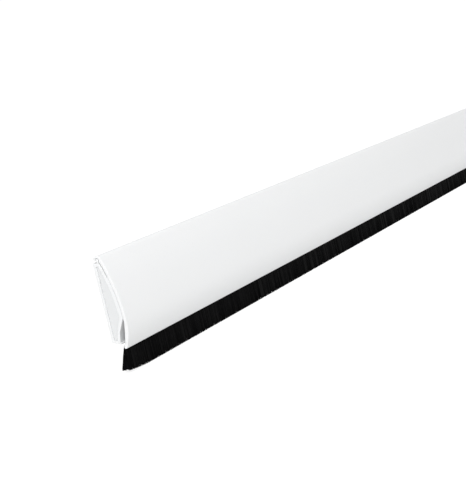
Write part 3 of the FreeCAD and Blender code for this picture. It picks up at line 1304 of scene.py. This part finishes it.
@dataclass
class Studio:
    """The pale floor, the soft light and the camera."""

    section: Section
    bearing: float = math.radians(58.3)
    elevation: float = math.radians(7.6)
    roll: float = math.radians(-13)
    lens: float = 85.8
    stand: Vector = field(default_factory=lambda: Vector((-0.459, -0.3655, 0.1108)))
    floor_side: float = 40.0
    sky: float = 0.44
    backdrop: float = 1.05
    overhead: float = 0.63
    overhead_spread: float = math.radians(70)
    overhead_place: Vector = field(default_factory=lambda: Vector((0, -0.3, 2)))
    key: float = 182.0
    key_size: Pair = (2.4, 1.8)
    key_place: Vector = field(default_factory=lambda: Vector((-3.25, -2.25, 3.05)))
    floor_seen: float = 0.85
    floor_glow: float = 0.62

    def floor(self) -> None:
        """The floor, level with the tips of the brush."""
        bpy.ops.mesh.primitive_plane_add(size=self.floor_side)
        plane = bpy.context.object
        plane.name = "floor"
        plane.location.z = self.section.foot - self.section.tip_drop - 0.2 * MM
        recipe = Recipe("pale_floor")
        recipe.shader.inputs["Base Color"].default_value = (0.25, 0.25, 0.25, 1)
        recipe.shader.inputs["Roughness"].default_value = 0.9
        recipe.shader.inputs["Specular IOR Level"].default_value = 0.1
        recipe.shader.inputs["Emission Color"].default_value = (1, 1, 1, 1)
        recipe.links.new(
            self.seen_or_cast(recipe.nodes, recipe.links, self.floor_seen, self.floor_glow),
            recipe.shader.inputs["Emission Strength"],
        )
        plane.data.materials.append(recipe.material)

    @staticmethod
    def seen_or_cast(nodes: bpy.types.Nodes, links: bpy.types.NodeLinks, seen: float,
                     cast: float) -> bpy.types.NodeSocket:
        """Makes a light's strength, which differs between its look and the light that it gives.

        Args:
            nodes: the nodes to add to.
            links: their links.
            seen: the strength where the camera looks at it.
            cast: the strength of the light that it gives.

        Returns:
            The strength's socket.
        """
        path = nodes.new("ShaderNodeLightPath")
        level = nodes.new("ShaderNodeMapRange")
        level.inputs["To Min"].default_value = cast
        level.inputs["To Max"].default_value = seen
        links.new(path.outputs["Is Camera Ray"], level.inputs["Value"])
        return level.outputs["Result"]

    def hang(self, lamp: bpy.types.Light, place: Vector, aim: Vector) -> None:
        """Hangs one lamp.

        Args:
            lamp: the lamp.
            place: where it hangs.
            aim: the point that it faces.
        """
        holder = bpy.data.objects.new(lamp.name, lamp)
        holder.location = place
        holder.rotation_euler = (aim - place).to_track_quat("-Z", "Y").to_euler()
        bpy.context.scene.collection.objects.link(holder)

    def lights(self) -> None:
        """A white sky, a very soft overhead light and a lamp above the near end."""
        world = bpy.data.worlds.new("white_sky")
        bpy.context.scene.world = world
        world.use_nodes = True
        nodes, links = world.node_tree.nodes, world.node_tree.links
        level = self.seen_or_cast(nodes, links, self.backdrop, self.sky)
        links.new(level, nodes["Background"].inputs["Strength"])
        nodes["Background"].inputs["Color"].default_value = (1, 1, 1, 1)
        near_end = Vector((self.section.run[0], 0, self.section.foot))
        overhead = bpy.data.lights.new("overhead", "SUN")
        overhead.energy, overhead.angle = self.overhead, self.overhead_spread
        self.hang(overhead, near_end + self.overhead_place, near_end)
        key = bpy.data.lights.new("key", "AREA")
        key.shape, key.energy = "RECTANGLE", self.key
        key.size, key.size_y = self.key_size
        self.hang(key, near_end + self.key_place, near_end)

    def camera(self) -> None:
        """The camera, low in front of the near end and looking along the run."""
        lens = bpy.data.cameras.new("camera")
        lens.lens = self.lens
        lens.clip_start = 0.01
        holder = bpy.data.objects.new("camera", lens)
        near_end = Vector((self.section.run[0], 0, self.section.foot))
        holder.location = near_end + self.stand
        turn = Matrix.Rotation(-self.bearing, 3, "Z") @ Matrix.Rotation(math.pi / 2 - self.elevation, 3, "X")
        holder.rotation_euler = (turn @ Matrix.Rotation(self.roll, 3, "Z")).to_euler()
        bpy.context.scene.collection.objects.link(holder)
        bpy.context.scene.camera = holder

    def build(self) -> None:
        """Sets the whole studio up."""
        self.floor()
        self.lights()
        self.camera()
        settings = bpy.context.scene.view_settings
        settings.view_transform = "Standard"
        settings.look = "None"


def clear_startup() -> None:
    """Removes the objects that a new file starts with."""
    for thing in list(bpy.data.objects):
        if thing.type in ("CAMERA", "LIGHT") or thing.name == "Cube":
            bpy.data.objects.remove(thing)


def main() -> None:
    """Builds the studio and every sub-assembly."""
    logging.basicConfig(level=logging.INFO, format="%(name)s %(message)s")
    clear_startup()
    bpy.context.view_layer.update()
    section = Section.from_frame()
    effects = Effects()
    Studio(section).build()
    white = ExtrudedVinyl("cover_vinyl", (0.838, 0.845, 0.848), (0.822, 0.829, 0.833)).make(effects)
    rail_white = ExtrudedVinyl("rail_vinyl", (0.82, 0.828, 0.832), (0.802, 0.811, 0.816)).make(effects)
    # painted shade: the plugs take a darker copy of the white vinyl, standing in for shade on the end face
    plug_white_painted_shade = ExtrudedVinyl(
        "moulded_vinyl", (0.74, 0.75, 0.755), (0.72, 0.73, 0.735), smoothest=0.42, roughest=0.52
    ).make(effects)
    # painted highlight: the cut ends take a brighter copy of the white vinyl, standing in for light catching
    # them
    cut_ends_painted_highlight = CutEndVinylWithPaintedHighlight("sawn_vinyl", (0.9, 0.905, 0.91), (0.84, 0.85, 0.86)).make(effects)
    zinc = MillSteel(
        "zinc_sheet", (0.62, 0.63, 0.64), (0.44, 0.45, 0.47), spangle=0.004, smoothest=0.3, roughest=0.5
    ).make(effects)
    drawn = MillSteel(
        "drawn_wire", (0.58, 0.58, 0.58), (0.4, 0.4, 0.4), spangle=0.002, smoothest=0.22, roughest=0.4
    ).make(effects)
    nylon = BlackNylon("black_nylon", (0.0009, 0.0009, 0.001), (0.005, 0.005, 0.0053)).make(effects)
    Rail(section, materials=[rail_white, cut_ends_painted_highlight]).build()
    EndPlug(section, "near_end_plug", at_high_end=False, materials=[plug_white_painted_shade, plug_white_painted_shade]).build()
    EndPlug(section, "far_end_plug", at_high_end=True, materials=[plug_white_painted_shade, plug_white_painted_shade]).build()
    Cover(section, materials=[white, cut_ends_painted_highlight]).build()
    BrushHolder(section, sheet_steel=zinc, wire_steel=drawn).build()
    Filaments(section, nylon=nylon).build()


if __name__ == "__main__":
    main()
